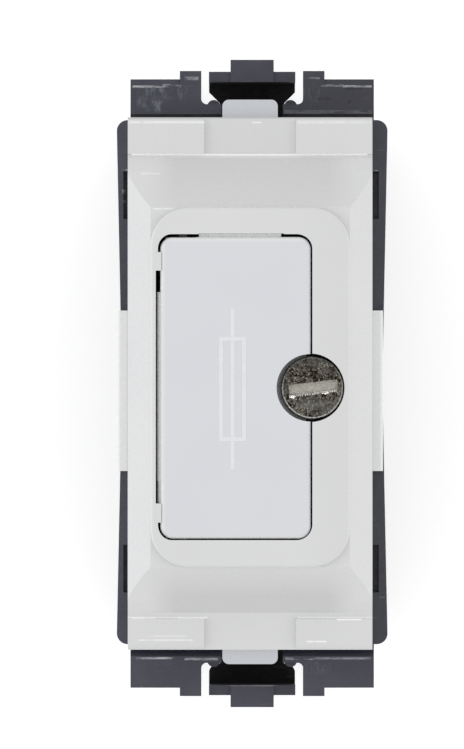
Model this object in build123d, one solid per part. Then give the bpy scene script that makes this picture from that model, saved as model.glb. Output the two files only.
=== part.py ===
from build123d import *
import os
from math import cos, radians, sin, sqrt

# Fused spur unit for a 25 mm grid frame, in millimetres.
# +Z is the front, +Y is up, +X is right, and the origin is the centre of the rear face.

# Levels, measured forward from the rear face
face_z = 33.0
shoulder_z = 30.0
flange_top_z = 24.0
flange_thickness = 2.0
lug_thickness = 2.2
cavity_floor_z = 16.0
floor_thickness = 2.0

# How far joined solids run into each other, and how far a cut runs past a surface
overlap = 0.1
margin = 1.0

# Base moulding, seen from the front
body_half_width = 11.3
body_half_height = 24.0
body_corner = 1.5
body_wall = 1.9
end_wall = 2.6
flange_lip = 1.22
flange_waist_draw = 0.5
flange_lip_top = 0.33
flange_lip_bottom = 0.08
flange_corner = 1.0
cavity_corner = 1.0

# Seat lugs at both ends of the base, by their reach past the body
lug_inner_x = 4.70
lug_outer_inset = 0.06
lug_reach = 4.10
lug_tab_width = 1.98
lug_tab_reach = 4.87
ear_inner_x = 2.83
ear_reach = 1.80
ear_root_radius = 0.5
lug_groove_start = 0.35
lug_groove_widths = (0.45, 0.2)
lug_groove_slopes = (0.05, 0.65)
lug_groove_depth = 0.6
lug_ramp_length = 0.70
lug_ramp_drop = 0.35
guide_rib_x = 3.55
guide_rib_radius = 0.6
guide_rib_reach = 2.2
guide_rib_drop = 0.9
guide_rib_foot_z = 12.0

# Sprung latches at both ends of the base
frame_sheet = 1.6
latch_play = 0.1
latch_half_width = 4.0
latch_gap = 3.92
latch_thickness = 0.94
latch_foot_z = 9.0
latch_web_thickness = 1.3
latch_root_inset = 1.0
latch_root_start = 2.1
latch_root_ends = (3.1, 2.8)
latch_bend_radius = 1.5
hook_half_width = 2.0
hook_reach = 1.10
hook_rise = 0.4
hook_length = 4.6

# Front shell
shell_play = 0.2
shell_inset = 0.04
shell_overhang = 0.5
shell_wall = 1.5
side_slope = 1.0
plateau_inset = 2.1
plateau_rims = (2.72, 2.63)
plateau_corner = 3.5
plateau_rise = 0.6
plateau_edge_round = 0.3
cove_top_margin = 3.40
cove_bottom_margin = 3.42
cove_sag = 0.25
recess_depth = 0.3
recess_half_width = 4.22
top_step = 0.2
top_step_run = 0.12
block_outer_round = 0.7
block_inner_round = 0.15
block_bottom_margin = 2.90
tongue_half_width = 2.55
tongue_reach_top = 1.65
tongue_reach_bottom = 1.35
tongue_drop = 1.1
tongue_slope = 0.35
tongue_thickness = 1.0
tongue_corner = 0.6
wing_reach = 1.0
wing_rows = (-8.07, 6.73)
wing_rise = 2.4
wing_round = 0.3
wing_clearance = 0.05

# Snap legs of the shell and their windows in the base
end_leg_clearance = 0.40
end_leg_thickness = 1.0
end_leg_foot_z = 16.0
end_leg_barb = 0.9
end_leg_barb_land = 1.0
end_leg_catch_z = 18.6
end_leg_taper = 0.4
end_leg_taper_length = 0.8
end_leg_gusset = 1.0
end_leg_root = 0.5
end_window_depth = 1.1
side_leg_inset = 1.21
side_leg_thickness = 0.80
side_leg_barb = 0.80
side_leg_barb_land = 0.7
side_leg_taper = 0.3
side_leg_foot_z = 19.8
side_slot_reaches = (0.60, 0.40)
side_slot_depth = 1.4
side_slot_clearance = 0.1
side_window_length = 4.4
side_window_margins = (4.4, 4.7)
leg_end_clearance = 0.12
catch_clearance = 0.1

# Fuse carrier and the opening it closes
carrier_left_rim = 0.90
carrier_width = 13.84
carrier_y = -0.39
carrier_corner = 1.15
carrier_plate = 1.6
carrier_edge_round = 0.4
opening_left_gap = 0.41
opening_right_gap = 0.14
opening_top_gap = 0.37
opening_bottom_gap = 0.14
opening_corner = 1.45
skirt_depth = 1.5
skirt_thickness = 1.0
skirt_inset = 0.3
carrier_ledge_inset = 3.56
carrier_ledge_length = 7.56
carrier_ledge_reach = 0.31
carrier_ledge_drop = 0.7
carrier_ledge_thickness = 0.7

# Hinge of the carrier
hinge_depth = 1.45
barrel_bulge = 0.34
barrel_cover = 0.03
barrel_margins = (5.07, 5.30)
hinge_pin_radius = 0.6
hinge_pin_length = 1.25
hinge_clearance = 0.05
hinge_lug_margins = (1.39, 1.47)
hinge_lug_lengths = (1.70, 1.76)
hinge_lug_overhang = 0.75
hinge_lug_root = 0.2
knuckle_block_width = 4.0
knuckle_block_length = 2.2
knuckle_wall = 0.9

# Retaining screw, its ring and its insert
screw_inset = 0.05
screw_head_radius = 2.875
screw_head_height = 1.6
screw_head_below_face = 0.1
screw_head_chamfer = 0.18
screw_slot_end = 0.525
screw_slot_width = 1.0
screw_slot_depth = 0.7
screw_slot_turn = 7.0
screw_neck_radius = 1.15
screw_thread_radius = 1.30
screw_tip_inset = 0.5
screw_thread_length = 1.2
screw_tip_length = 0.8
screw_thread_pitch = 0.6
screw_release_turns = 3.4
recess_clearance = 0.225
shell_recess_clearance = 0.05
screw_lug_radius = 2.9
screw_lug_root_width = 1.0
screw_lug_thickness = 0.7
screw_hole_clearance = 0.70
ring_radius = 2.3
ring_bore_clearance = 0.05
ring_thickness = 0.5
ring_clearance = 0.05
ring_stop_clearance = 0.01
insert_radius = 2.5
insert_play = 0.5
insert_length = 4.5
insert_groove = 0.25
boss_wall = 0.75
press_clearance = 0.02

# Cartridge fuse
fuse_inset = 5.86
fuse_length = 25.4
fuse_cap_radius = 3.175
fuse_cap_length = 5.9
fuse_cap_wall = 0.25
fuse_cap_edge = 0.35
fuse_seat_gap = 0.2
fuse_end_gap = 0.16
fuse_stop_clearance = 1.8
fuse_stop_inset = 0.5
saddle_wall = 1.0
saddle_clearance = 0.05
saddle_spacing = 8.0
saddle_length = 1.6
saddle_neck_inset = 0.3
saddle_grip = 20.0

# Contact strips
contact_thickness = 0.7
contact_gap = 0.04
contact_inset = 0.6
contact_width = 4.7
contact_post_offset = 0.2
contact_post_drop = 0.9
contact_tail_reach = 2.8
contact_tail_margin = 0.8
contact_start_angle = 263.0
contact_end_angle = 195.0
contact_flare = (-0.45, 0.95)
contact_slot_clearance = 0.35

# Terminal blocks and their screws
terminal_margin = 1.1
terminal_width = 8.4
terminal_length = 7.0
terminal_wall = 3.0
terminal_top_z = 12.8
terminal_height = 7.6
terminal_bore_inset = 3.2
terminal_bore_drop = 3.2
terminal_bore_radius = 2.1
terminal_edge = 0.3
pocket_clearance = 0.05
entry_clearance = 0.5
clamp_inset = 3.0
clamp_shank_radius = 1.75
clamp_hole_clearance = 0.05
clamp_head_radius = 2.5
clamp_head_height = 1.7
clamp_travel = 3.0
clamp_slot_width = 0.9
clamp_slot_depth = 0.8
clamp_pad_radius = 1.6
clamp_pad_thickness = 0.8
clamp_pad_gap = 0.1
rivet_inset_x = 1.6
rivet_inset_y = 3.5
rivet_radius = 0.9
rivet_depth = 4.0
rivet_head_radius = 1.4
rivet_head_height = 0.5
rivet_headroom = 0.2

# Rear cover
cover_margin = 0.9
cover_end_margin = 1.2
cover_thickness = 1.5
cover_corner = 1.2
cover_clearance = 0.1
cover_hole_clearance = 0.3
cover_rib_width = 1.8
cover_rib_inset = 0.3
cover_rib_end = 1.0
stake_inset = 1.5
stake_radius = 0.8
stake_clearance = 0.05
core_count = 3
core_gap = 1.2
core_inset = 2.0
core_wall = 1.4

# Places worked out from the sizes above
flange_half_width = body_half_width + flange_lip
flange_waist = flange_half_width - flange_waist_draw
flange_top_y = body_half_height + flange_lip_top
flange_bottom_y = -body_half_height - flange_lip_bottom
cavity_half_width = body_half_width - body_wall
cavity_half_height = body_half_height - end_wall
flange_foot_z = flange_top_z - flange_thickness
lug_foot_z = flange_top_z - lug_thickness
lug_outer_x = body_half_width - lug_outer_inset
lug_tab_outer_x = lug_inner_x + lug_tab_width
lug_end = body_half_height + lug_reach
lug_tab_end = body_half_height + lug_tab_reach
ear_end = body_half_height + ear_reach
groove_start = body_half_height + lug_groove_start
latch_inner_y = body_half_height + latch_gap
latch_outer_y = latch_inner_y + latch_thickness
latch_root_half_width = latch_half_width - latch_root_inset
hook_end = latch_outer_y + hook_reach
hook_top_z = lug_foot_z - frame_sheet - latch_play
latch_top_z = hook_top_z - hook_rise
shell_half_width = body_half_width - shell_inset
shell_half_height = body_half_height + shell_overhang
plateau_half_width = shell_half_width - plateau_inset
carrier_left = -plateau_half_width + carrier_left_rim
carrier_right = carrier_left + carrier_width
carrier_top = carrier_y + fuse_length / 2 + fuse_end_gap + skirt_thickness
carrier_bottom = carrier_y - fuse_length / 2 - fuse_end_gap - skirt_thickness
plateau_top_y = carrier_top + plateau_rims[0]
plateau_bottom_y = carrier_bottom - plateau_rims[1]
slope_top_z = face_z - plateau_rise
shell_floor_z = shoulder_z - recess_depth
cove_top_y = shell_half_height - cove_top_margin
cove_bottom_y = -shell_half_height + cove_bottom_margin
block_bottom_y = -shell_half_height + block_bottom_margin
wing_half_width = shell_half_width + wing_reach
end_leg_inner = body_half_height + end_leg_clearance
side_leg_inner = shell_half_width - side_leg_inset
side_leg_outer = side_leg_inner + side_leg_thickness
side_throat_outer = side_leg_outer + shell_play + side_slot_clearance
side_window_inner = cavity_half_width - overlap
side_window_top = body_half_height - side_window_margins[0]
side_window_bottom = -body_half_height + side_window_margins[1]
side_window_rows = (
    (side_window_top - side_window_length, side_window_top),
    (side_window_bottom, side_window_bottom + side_window_length),
)
hinge_z = face_z - hinge_depth
hinge_drop = hinge_depth - carrier_edge_round
hinge_bulge = barrel_bulge - barrel_cover
hinge_lever = (hinge_drop ** 2 - hinge_bulge ** 2) / (2 * hinge_bulge)
hinge_x = carrier_left + carrier_edge_round + hinge_lever
barrel_radius = hinge_x - carrier_left + barrel_bulge
barrel_rows = (carrier_bottom + barrel_margins[1], carrier_top - barrel_margins[0])
hinge_lug_top = carrier_top - hinge_lug_margins[0]
hinge_lug_bottom = carrier_bottom + hinge_lug_margins[1]
hinge_lug_rows = (
    (hinge_lug_top - hinge_lug_lengths[0], hinge_lug_top),
    (hinge_lug_bottom, hinge_lug_bottom + hinge_lug_lengths[1]),
)
carrier_foot_z = face_z - carrier_plate
fuse_x = carrier_left + fuse_inset
fuse_y = carrier_y
fuse_z = carrier_foot_z - fuse_seat_gap - fuse_cap_radius
fuse_tube_radius = fuse_cap_radius - fuse_cap_wall
fuse_stop_foot_z = fuse_z - fuse_stop_clearance
saddle_near = saddle_spacing / 2
saddle_far = saddle_near + saddle_length
screw_x = carrier_right - screw_inset
screw_y = carrier_y
head_top_z = face_z - screw_head_below_face
head_foot_z = head_top_z - screw_head_height
recess_radius = screw_head_radius + recess_clearance
shell_recess_radius = recess_radius + shell_recess_clearance
screw_lug_foot_z = head_foot_z - screw_lug_thickness
screw_lug_root_radius = recess_radius + screw_lug_root_width
screw_hole_radius = screw_neck_radius + screw_hole_clearance
screw_travel = screw_thread_pitch * screw_release_turns
ring_top_z = screw_lug_foot_z - screw_travel - ring_stop_clearance
ring_foot_z = ring_top_z - ring_thickness
ring_bore_radius = screw_neck_radius + ring_bore_clearance
boss_top_z = ring_foot_z - ring_clearance
boss_radius = insert_radius + boss_wall
insert_bore_radius = screw_thread_radius + insert_play
contact_post_x = fuse_x + contact_post_offset
contact_tail_left = contact_post_x - contact_tail_reach
contact_near = contact_inset + fuse_length / 2 - fuse_cap_length
contact_far = contact_near + contact_width
contact_post_top_z = fuse_z - fuse_cap_radius - contact_post_drop
terminal_left = -body_half_width + terminal_margin
terminal_right = terminal_left + terminal_width
terminal_far = body_half_height - terminal_wall
terminal_near = terminal_far - terminal_length
terminal_foot_z = terminal_top_z - terminal_height
terminal_bore_x = terminal_left + terminal_bore_inset
terminal_bore_z = terminal_top_z - terminal_bore_drop
entry_radius = terminal_bore_radius + entry_clearance
clamp_y = terminal_near + clamp_inset
clamp_hole_radius = clamp_shank_radius + clamp_hole_clearance
clamp_pad_top_z = terminal_bore_z - terminal_bore_radius - clamp_pad_gap
clamp_pad_foot_z = clamp_pad_top_z - clamp_pad_thickness
clamp_head_z = terminal_foot_z - clamp_travel - clamp_head_height
contact_tail_end = terminal_far - contact_tail_margin
rivet_x = terminal_right - rivet_inset_x
rivet_y = terminal_near + rivet_inset_y
rivet_top_z = terminal_top_z + contact_thickness + rivet_head_height
tail_ceiling_z = rivet_top_z + rivet_headroom
cover_half_width = body_half_width - cover_margin
cover_half_height = body_half_height - cover_end_margin
cover_hole_radius = clamp_head_radius + cover_hole_clearance
cover_rib_right = terminal_right - cover_rib_inset
stake_x = cover_half_width - stake_inset
stake_y = cover_half_height - stake_inset
core_half_width = body_half_width - core_wall
core_left = terminal_right + core_inset
core_ceiling_z = cavity_floor_z - floor_thickness


def block(x_range, y_range, z_range):
    """Box between two corners."""
    low = Vector(min(x_range), min(y_range), min(z_range))
    high = Vector(max(x_range), max(y_range), max(z_range))
    size = high - low
    return Pos((low + high) * 0.5) * Box(size.X, size.Y, size.Z)


def post(x, y, z_range, radius):
    """Cylinder along Z."""
    low, high = min(z_range), max(z_range)
    return Pos(x, y, (low + high) / 2) * Cylinder(radius, high - low)


def rod(x, z, y_range, radius):
    """Cylinder along Y."""
    low, high = min(y_range), max(y_range)
    return Pos(x, (low + high) / 2, z) * Rot(90, 0, 0) * Cylinder(radius, high - low)


def rows(y_range, end):
    """The same two rows at the upper end (1) or the lower end (-1)."""
    return (y_range[0] * end, y_range[1] * end)


def across(points, x_range):
    """Prism along X whose section is given by (y, z) points."""
    section = Plane.YZ.offset(min(x_range)) * make_face(Polyline(*points, close=True))
    return extrude(section, max(x_range) - min(x_range))


def along(points, y_range):
    """Prism along Y whose section is given by (x, z) points."""
    section = Plane.XZ.offset(-max(y_range)) * make_face(Polyline(*points, close=True))
    return extrude(section, max(y_range) - min(y_range))


def pick(edges, tolerance=0.02, **place):
    """The edges whose middle has the given coordinates."""
    found = ShapeList()
    for edge in edges:
        middle = edge.center()
        if all(abs(getattr(middle, axis) - value) < tolerance for axis, value in place.items()):
            found.append(edge)
    return found


# Base moulding

def base_flange():
    """Rim plate whose long sides draw in towards the middle."""
    wide, waist = flange_half_width, flange_waist
    outline = Polyline(
        (-wide, flange_top_y),
        (wide, flange_top_y),
        (waist, 0),
        (wide, flange_bottom_y),
        (-wide, flange_bottom_y),
        (-waist, 0),
        close=True,
    )
    plate = extrude(Pos(0, 0, flange_foot_z) * make_face(outline), flange_thickness)
    upright = plate.edges().filter_by(Axis.Z)
    corners = pick(upright, Y=flange_top_y) + pick(upright, Y=flange_bottom_y)
    return fillet(corners, flange_corner)


def seat_lug(side, end):
    """Lug with its tab, its inner ear and the groove beside the shell."""
    root = body_half_height - end_wall / 2
    plan = [
        (ear_inner_x, root),
        (ear_inner_x, ear_end),
        (lug_inner_x, ear_end),
        (lug_inner_x, lug_tab_end),
        (lug_tab_outer_x, lug_tab_end),
        (lug_tab_outer_x, lug_end),
        (lug_outer_x, lug_end),
        (lug_outer_x, root),
    ]
    outline = Polyline(*[(x * side, y * end) for x, y in plan], close=True)
    lug = extrude(Pos(0, 0, lug_foot_z) * make_face(outline), lug_thickness)
    upright = lug.edges().filter_by(Axis.Z)
    lug = fillet(pick(upright, X=lug_inner_x * side, Y=ear_end * end), ear_root_radius)
    row = 0 if end > 0 else 1
    foot = groove_start + lug_groove_widths[row]
    brim = foot + lug_groove_slopes[row]
    groove = [
        (groove_start, flange_top_z + margin),
        (groove_start, flange_top_z - lug_groove_depth),
        (foot, flange_top_z - lug_groove_depth),
        (brim, flange_top_z),
        (brim, flange_top_z + margin),
    ]
    lug -= across([(y * end, z) for y, z in groove], (side, side * flange_half_width))
    return lug


def lug_ramps():
    """Sloped outer edge of the upper lugs and of their tabs."""
    ramps = []
    foot = flange_top_z - lug_ramp_drop * (lug_ramp_length + margin) / lug_ramp_length
    for side in (1, -1):
        for reach, x_range in (
            (lug_end, (lug_tab_outer_x * side, flange_half_width * side)),
            (lug_tab_end, (lug_inner_x * side, lug_tab_outer_x * side)),
        ):
            section = [
                (reach - lug_ramp_length, flange_top_z),
                (reach + margin, foot),
                (reach + margin, flange_top_z + margin),
                (reach - lug_ramp_length, flange_top_z + margin),
            ]
            ramps.append(across(section, x_range))
    return ramps


def latch_relief(side, end):
    """Cut that narrows a latch's web at the body, straight at the top and rounded below."""
    root_end = latch_root_ends[0] if end > 0 else latch_root_ends[1]
    wide = (latch_half_width * side, (body_half_height + root_end) * end)
    narrow = (latch_root_half_width * side, (body_half_height + latch_root_start) * end)
    inside = (body_half_height - end_wall) * end
    if end > 0:
        shoulder = Line(wide, narrow)
    else:
        bow = cos(radians(45))
        middle = (
            narrow[0] + (wide[0] - narrow[0]) * bow,
            wide[1] + (narrow[1] - wide[1]) * bow,
        )
        shoulder = ThreePointArc(wide, middle, narrow)
    edge = (latch_half_width + margin) * side
    outline = shoulder + Polyline(narrow, (narrow[0], inside), (edge, inside), (edge, wide[1]), wide)
    return extrude(Pos(0, 0, latch_foot_z - margin) * make_face(outline),
                   latch_web_thickness + 2 * margin)


def latch(end):
    """U-shaped sprung arm with the hook that snaps behind the frame."""
    web_top_z = latch_foot_z + latch_web_thickness
    root = body_half_height - end_wall / 2
    section = [
        (root, latch_foot_z),
        (latch_outer_y, latch_foot_z),
        (latch_outer_y, latch_top_z),
        (latch_inner_y, latch_top_z),
        (latch_inner_y, web_top_z),
        (root, web_top_z),
    ]
    wide = (-latch_half_width, latch_half_width)
    arm = across([(y * end, z) for y, z in section], wide)
    lying = arm.edges().filter_by(Axis.X)
    arm = fillet(pick(lying, Y=latch_outer_y * end, Z=latch_foot_z), latch_bend_radius)
    lying = arm.edges().filter_by(Axis.X)
    arm = fillet(pick(lying, Y=latch_inner_y * end, Z=web_top_z), latch_bend_radius / 2)
    for side in (1, -1):
        arm -= latch_relief(side, end)
    hook = [
        (latch_inner_y, hook_top_z),
        (hook_end, hook_top_z),
        (hook_end, hook_top_z - hook_rise),
        (latch_outer_y, hook_top_z - hook_length),
        (latch_inner_y, hook_top_z - hook_length),
    ]
    return arm + across([(y * end, z) for y, z in hook], (-hook_half_width, hook_half_width))


def guide_ribs(end):
    """Half-round ribs beside the shell's end leg."""
    ribs = []
    for side in (1, -1):
        centre_y = (body_half_height + guide_rib_reach - guide_rib_radius) * end
        z_range = (guide_rib_foot_z, flange_top_z - guide_rib_drop)
        x_range = (
            (guide_rib_x - guide_rib_radius) * side,
            (guide_rib_x + guide_rib_radius) * side,
        )
        ribs.append(post(guide_rib_x * side, centre_y, z_range, guide_rib_radius))
        root = (body_half_height - end_wall / 2) * end
        ribs.append(block(x_range, (root, centre_y), z_range))
    return ribs


def snap_windows():
    """Pockets in the base for the snap legs of the shell."""
    cuts = []
    shelf_z = flange_top_z - side_slot_depth
    foot_z = side_leg_foot_z - leg_end_clearance
    for side, reach in ((-1, side_slot_reaches[0]), (1, side_slot_reaches[1])):
        inner = side_window_inner * side
        slot_outer = (body_half_width + reach) * side
        for y_range in side_window_rows:
            cuts.append(block((inner, slot_outer), y_range,
                              (shelf_z, flange_top_z + margin)))
            cuts.append(block((inner, side_throat_outer * side), y_range, (foot_z, flange_top_z)))
            cuts.append(block((inner, (flange_half_width + margin) * side), y_range,
                              (foot_z, flange_foot_z)))
    for end in (1, -1):
        half = tongue_half_width + shell_play + leg_end_clearance
        depth = (body_half_height - end_window_depth) * end
        z_range = (end_leg_foot_z, end_leg_catch_z + catch_clearance)
        cuts.append(block((-half, half), (depth, (body_half_height + margin) * end), z_range))
    return cuts


def contact_rows(end, clearance=0):
    """Rows that a contact strip takes up under its fuse cap, widened by clearance."""
    return (fuse_y + (contact_near - clearance) * end, fuse_y + (contact_far + clearance) * end)


def terminal_pocket(end):
    """Pocket behind for a terminal block, its contact strip and its conductor."""
    c = pocket_clearance
    near, far = terminal_near - c, terminal_far + c
    tail_x = (contact_tail_left - contact_slot_clearance, terminal_right + c)
    post_x = contact_post_x
    slot_x = (
        post_x - contact_thickness / 2 - 2 * contact_slot_clearance,
        post_x + contact_thickness / 2 + contact_slot_clearance,
    )
    near_slot, far_slot = contact_rows(end, contact_slot_clearance)
    post_rows = (near_slot, far_slot)
    tail_rows = (near_slot, far * end)
    cuts = [
        block((terminal_left - c, terminal_right + c), rows((near, far), end),
              (0, terminal_top_z + c)),
        block(tail_x, tail_rows, (0, tail_ceiling_z)),
        block(slot_x, post_rows, (0, cavity_floor_z + margin)),
        rod(terminal_bore_x, terminal_bore_z, rows((terminal_near, body_half_height + margin), end),
            entry_radius),
    ]
    return cuts


def core_pockets():
    """Moulding pockets that keep the walls of the base even."""
    right = (core_left, core_half_width)
    far = terminal_far + pocket_clearance
    middle_top = contact_rows(1, contact_slot_clearance)[0] - core_gap
    middle_bottom = contact_rows(-1, contact_slot_clearance)[0] + core_gap
    step = (2 * far - (core_count - 1) * core_gap) / core_count
    cuts = []
    for index in range(core_count):
        low = -far + index * (step + core_gap)
        cuts.append(block(right, (low, low + step), (0, core_ceiling_z)))
    cuts.append(block((-core_half_width, core_left - core_gap), (middle_bottom, middle_top),
                      (0, core_ceiling_z)))
    return cuts


def base_moulding():
    """One-piece base with flange, lugs, latches, insert boss and pockets."""
    body = block(
        (-body_half_width, body_half_width),
        (-body_half_height, body_half_height),
        (0, flange_top_z),
    )
    body = fillet(body.edges().filter_by(Axis.Z), body_corner)
    body += base_flange()
    for end in (1, -1):
        for side in (1, -1):
            body += seat_lug(side, end)
        for rib in guide_ribs(end):
            body += rib
        body += latch(end)
    for ramp in lug_ramps():
        body -= ramp
    cavity = block(
        (-cavity_half_width, cavity_half_width),
        (-cavity_half_height, cavity_half_height),
        (cavity_floor_z, flange_top_z + margin),
    )
    body -= fillet(cavity.edges().filter_by(Axis.Z), cavity_corner)
    cover_seat = block(
        (-cover_half_width, cover_half_width),
        (-cover_half_height, cover_half_height),
        (-margin, cover_thickness),
    )
    body -= fillet(cover_seat.edges().filter_by(Axis.Z), cover_corner)
    for cut in snap_windows() + terminal_pocket(1) + terminal_pocket(-1) + core_pockets():
        body -= cut
    body += post(screw_x, screw_y, (core_ceiling_z, boss_top_z), boss_radius)
    body -= post(screw_x, screw_y, (boss_top_z - insert_length, boss_top_z), insert_radius)
    for side in (1, -1):
        for end in (1, -1):
            body += post(stake_x * side, stake_y * end, (0, cover_thickness + margin),
                         stake_radius)
    return body


# Front shell

def shell_envelope(inset):
    """Form of the shell with its coves and side slopes, drawn in by inset."""
    top = slope_top_z - inset
    floor = shell_floor_z - inset
    side = shell_half_width - inset
    end = shell_half_height - inset
    shoulder_side = slope_top_z - side_slope * (shell_half_width - plateau_half_width) - inset

    def cove(line_y, edge_y, start_z):
        run = edge_y - line_y
        rise = top - start_z
        chord = sqrt(run ** 2 + rise ** 2)
        middle = (
            line_y + run / 2 + cove_sag * rise / chord * (1 if run > 0 else -1),
            start_z + rise / 2 - cove_sag * abs(run) / chord,
        )
        return ThreePointArc((line_y, start_z), middle, (edge_y, top))

    top_start = floor - top_step
    outline = (
        Polyline((-end, flange_top_z), (-end, floor), (cove_bottom_y + inset, floor))
        + cove(cove_bottom_y + inset, plateau_bottom_y + inset, floor)
        + Line((plateau_bottom_y + inset, top), (plateau_top_y - inset, top))
        + cove(cove_top_y - inset, plateau_top_y - inset, top_start)
        + Polyline(
            (cove_top_y - inset, top_start),
            (cove_top_y - inset + top_step_run, floor),
            (end, floor),
            (end, flange_top_z),
            (-end, flange_top_z),
        )
    )
    lengthwise = extrude(Plane.YZ.offset(-side) * make_face(outline), 2 * side)
    crosswise = along(
        [
            (-side, flange_top_z),
            (-side, shoulder_side),
            (-plateau_half_width + inset, top),
            (plateau_half_width - inset, top),
            (side, shoulder_side),
            (side, flange_top_z),
        ],
        (-end, end),
    )
    return lengthwise & crosswise


def shoulder_block(side, end):
    """Raised block beside the central recess at one end of the shell."""
    inner_y = cove_top_y if end > 0 else block_bottom_y
    shoulder = block(
        (recess_half_width * side, shell_half_width * side),
        (inner_y, shell_half_height * end),
        (shell_floor_z - margin, shoulder_z),
    )
    lying = shoulder.edges().filter_by(Axis.X)
    shoulder = fillet(pick(lying, Y=shell_half_height * end, Z=shoulder_z), block_outer_round)
    lying = shoulder.edges().filter_by(Axis.X)
    return fillet(pick(lying, Y=inner_y, Z=shoulder_z), block_inner_round)


def end_leg(end):
    """Tongue at one end of the shell and the snap leg that hangs from it."""
    reach = shell_half_height + (tongue_reach_top if end > 0 else tongue_reach_bottom)
    top = shell_floor_z - tongue_drop
    outer = end_leg_inner + end_leg_thickness
    section = [
        (shell_half_height - shell_wall, top),
        (shell_half_height, top),
        (reach, top - tongue_slope),
        (reach, top - tongue_slope - tongue_thickness),
        (outer, top - tongue_slope - tongue_thickness - end_leg_gusset),
        (outer, end_leg_foot_z + end_leg_taper_length),
        (outer - end_leg_taper, end_leg_foot_z),
        (end_leg_inner, end_leg_foot_z),
        (end_leg_inner - end_leg_barb, end_leg_catch_z - end_leg_barb_land),
        (end_leg_inner - end_leg_barb, end_leg_catch_z),
        (end_leg_inner, end_leg_catch_z),
        (end_leg_inner, flange_top_z + end_leg_root),
        (shell_half_height - shell_wall, flange_top_z + end_leg_root),
    ]
    leg = across([(y * end, z) for y, z in section], (-tongue_half_width, tongue_half_width))
    return fillet(pick(leg.edges().filter_by(Axis.Z), Y=reach * end), tongue_corner)


def side_leg(side, low, high):
    """Snap leg with an outward barb under the flange of the base."""
    inner = side_leg_inner
    outer = side_leg_outer
    catch = flange_foot_z - catch_clearance
    section = [
        (inner, flange_top_z + margin),
        (inner, side_leg_foot_z),
        (outer - side_leg_taper, side_leg_foot_z),
        (outer + side_leg_barb, catch - side_leg_barb_land),
        (outer + side_leg_barb, catch),
        (outer, catch),
        (outer, flange_top_z + margin),
    ]
    y_range = (low + leg_end_clearance, high - leg_end_clearance)
    return along([(x * side, z) for x, z in section], y_range)


def shell_wing(side):
    """Ledge that covers the waist of the base flange."""
    foot = flange_top_z + wing_clearance
    wing = block(
        ((shell_half_width - shell_wall) * side, wing_half_width * side),
        wing_rows,
        (foot, foot + wing_rise),
    )
    lying = wing.edges().filter_by(Axis.Y)
    return fillet(pick(lying, X=wing_half_width * side, Z=foot + wing_rise), wing_round)


def plateau():
    """Raised rounded field round the carrier opening."""
    middle = Pos(0, (plateau_top_y + plateau_bottom_y) / 2, slope_top_z - overlap)
    field = middle * RectangleRounded(
        2 * plateau_half_width, plateau_top_y - plateau_bottom_y, plateau_corner
    )
    slab = extrude(field, plateau_rise + overlap)
    return fillet(slab.faces().sort_by(Axis.Z)[-1].edges(), plateau_edge_round)


def carrier_opening():
    """Opening in the plateau, with straight rounded-corner walls."""
    left = carrier_left - opening_left_gap
    right = carrier_right + opening_right_gap
    top = carrier_top + opening_top_gap
    bottom = carrier_bottom - opening_bottom_gap
    outline = Pos((left + right) / 2, (top + bottom) / 2, flange_top_z) * RectangleRounded(
        right - left, top - bottom, opening_corner
    )
    return extrude(outline, face_z - flange_top_z + margin)


def hinge_lugs():
    """Shell edges that follow the swing of the carrier."""
    left = carrier_left - opening_left_gap
    lugs = None
    for low, high in hinge_lug_rows:
        lug = block((left - hinge_lug_root, left + hinge_lug_overhang), (low, high),
                    (slope_top_z - shell_wall, face_z))
        lugs = lug if lugs is None else lugs + lug
    swing = rod(hinge_x, hinge_z, (carrier_bottom, carrier_top), barrel_radius + hinge_clearance)
    return lugs - swing


def knuckle_block(end):
    """Thickened shell round one hinge pin."""
    edge = carrier_top + opening_top_gap if end > 0 else -carrier_bottom + opening_bottom_gap
    y_range = rows((edge, edge + knuckle_block_length), end)
    x_range = (hinge_x - knuckle_block_width / 2, hinge_x + knuckle_block_width / 2)
    foot = hinge_z - hinge_pin_radius - hinge_clearance - knuckle_wall
    return block(x_range, y_range, (foot, slope_top_z - shell_wall / 2))


def front_shell():
    """White one-piece front shell, shifted by its play towards the hinge side."""
    shell = shell_envelope(0)
    for side in (1, -1):
        for end in (1, -1):
            shell += shoulder_block(side, end)
        shell += shell_wing(side)
    shell += plateau()
    hollow = shell_envelope(shell_wall)
    shell -= hollow
    for end in (1, -1):
        shell += end_leg(end)
        shell += knuckle_block(end)
    for side in (1, -1):
        for low, high in side_window_rows:
            shell += side_leg(side, low, high)
    shell -= carrier_opening()
    shell += hinge_lugs()
    pin_reach = hinge_pin_length + hinge_clearance
    shell -= rod(hinge_x, hinge_z, (carrier_bottom - pin_reach, carrier_top + pin_reach),
                 hinge_pin_radius + hinge_clearance)
    shell -= post(screw_x, screw_y, (slope_top_z - shell_wall - margin, face_z + margin),
                  shell_recess_radius)
    return Pos(-shell_play, 0, 0) * shell


# Fuse carrier

def carrier_lug():
    """Lug under the screw head, half of it reaching past the edge of the carrier."""
    left = block(
        (screw_x - screw_lug_root_radius, carrier_right - carrier_edge_round),
        (screw_y - screw_lug_root_radius, screw_y + screw_lug_root_radius),
        (screw_lug_foot_z, carrier_foot_z),
    )
    root = post(screw_x, screw_y, (screw_lug_foot_z, carrier_foot_z), screw_lug_root_radius)
    disc = post(screw_x, screw_y, (screw_lug_foot_z, head_foot_z), screw_lug_radius)
    return (root & left) + disc


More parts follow.
